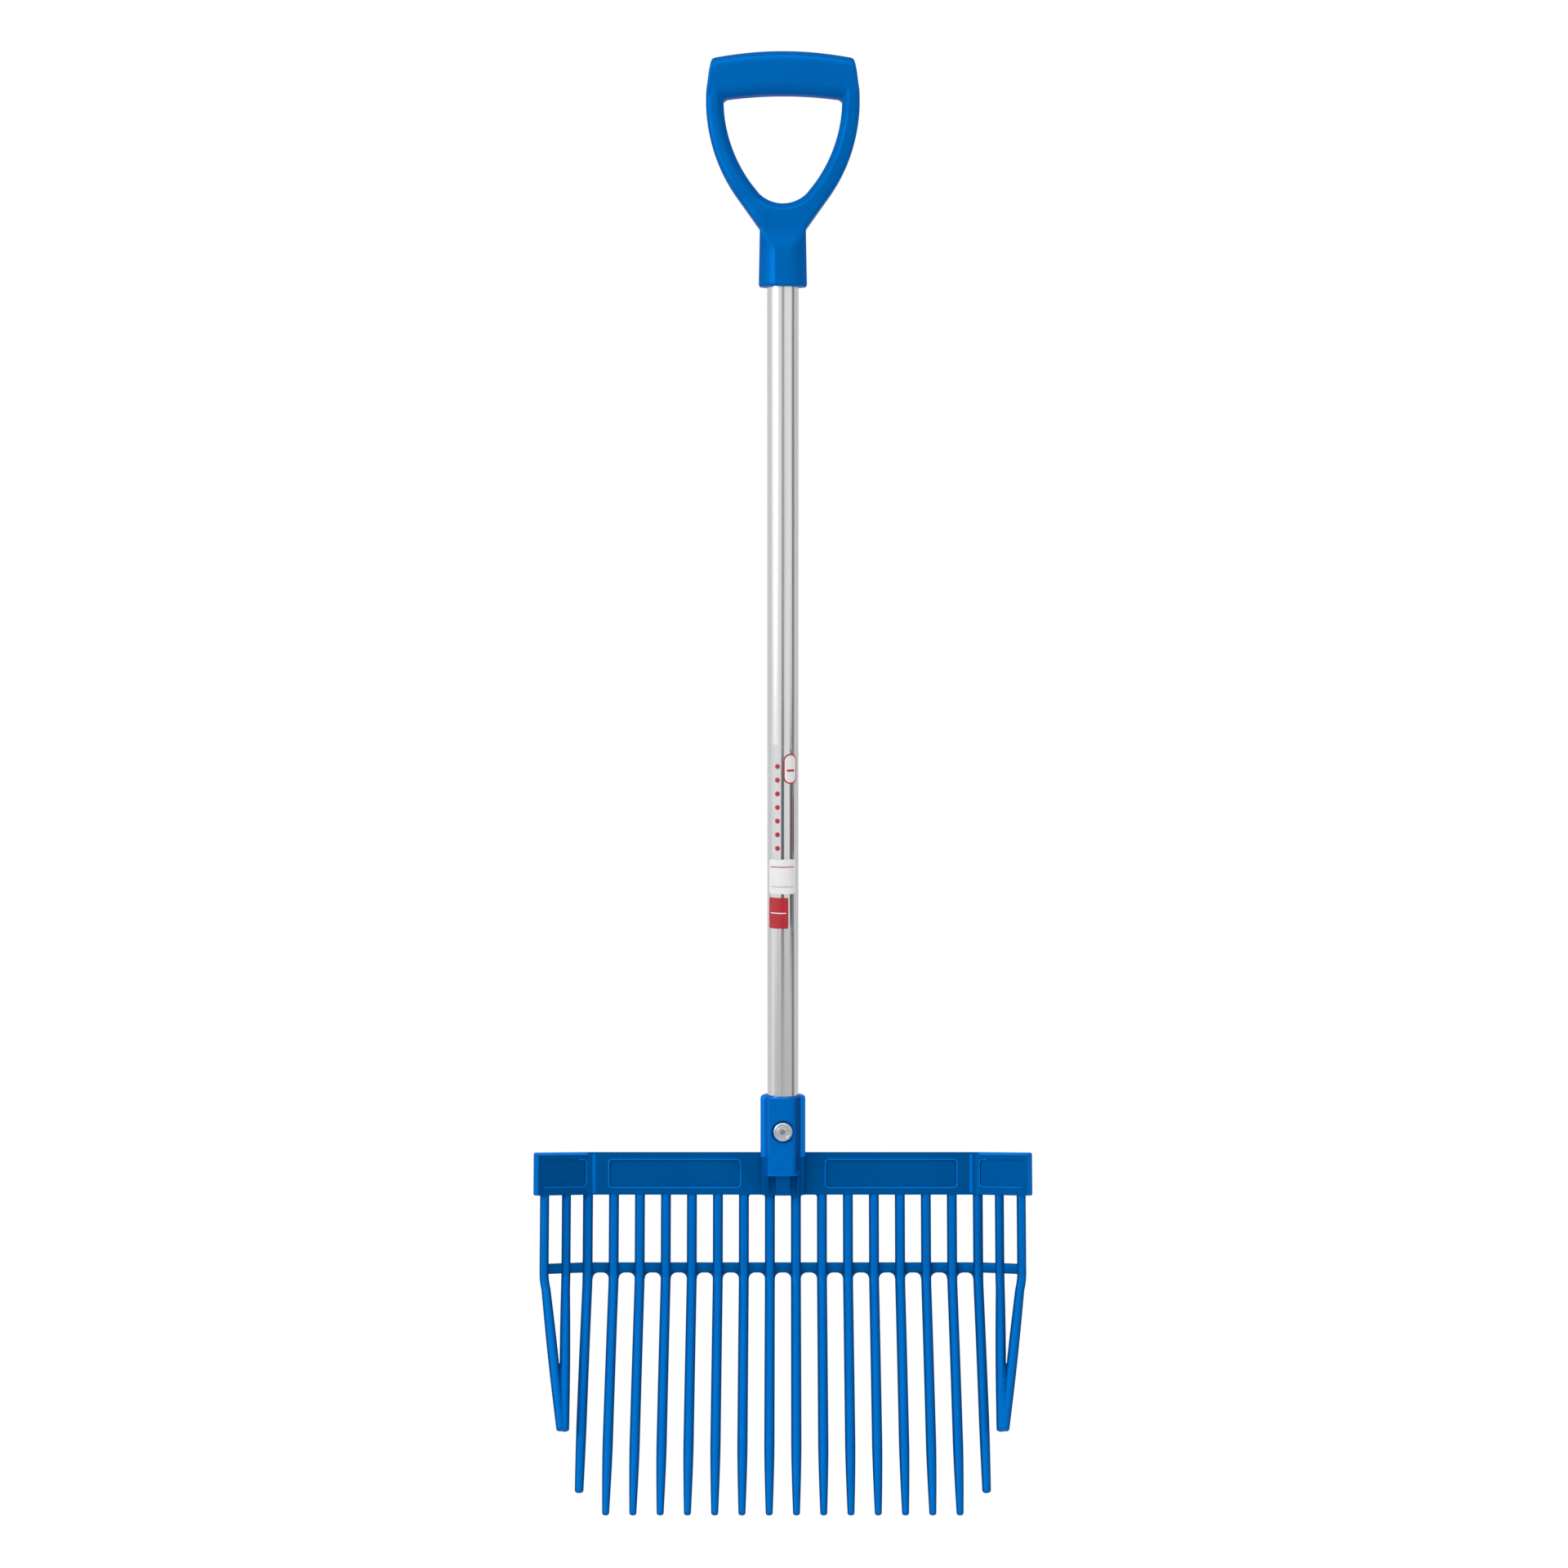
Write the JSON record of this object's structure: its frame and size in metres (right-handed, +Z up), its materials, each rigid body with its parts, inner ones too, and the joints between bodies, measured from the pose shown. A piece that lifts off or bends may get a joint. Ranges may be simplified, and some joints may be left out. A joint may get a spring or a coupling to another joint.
{
  "type": "bedding fork",
  "caption": "Bedding fork with a D-shaped hand grip, a straight metal shaft and a moulded basket head of long round tines with folded side wings, for lifting and sifting stable litter.",
  "frame": {"origin": "the middle of the underside of the grip's hand bar, where a hand or a hook carries the fork", "axes": "+Z up the shaft towards the grip, +X across the head, -Y towards the open side of the basket"},
  "size_m": [0.4026, 0.165, 1.1394],
  "materials": {
    "grip_plastic": "moulded, satin",
    "head_plastic": "moulded, slightly translucent",
    "shaft_metal": "drawn, anodised",
    "plug_plastic": "moulded",
    "film": "clear film with printed panels",
    "fastener_steel": "zinc plated",
    "nylon": "moulded nylon"
  },
  "bodies": {
    "root": {"d_grip": "grip_plastic", "grip_screw": "fastener_steel", "shaft_tube": "shaft_metal", "shaft_plug": "plug_plastic", "label_film": "film", "head_plate": "head_plastic", "crossbar": "head_plastic", "floor_tines": "head_plastic", "fold_tines": "head_plastic", "wing_tines": "head_plastic", "head_bolt": "fastener_steel", "head_washer": "fastener_steel", "head_nut": "fastener_steel", "nut_insert": "nylon"}
  },
  "joints": []
}
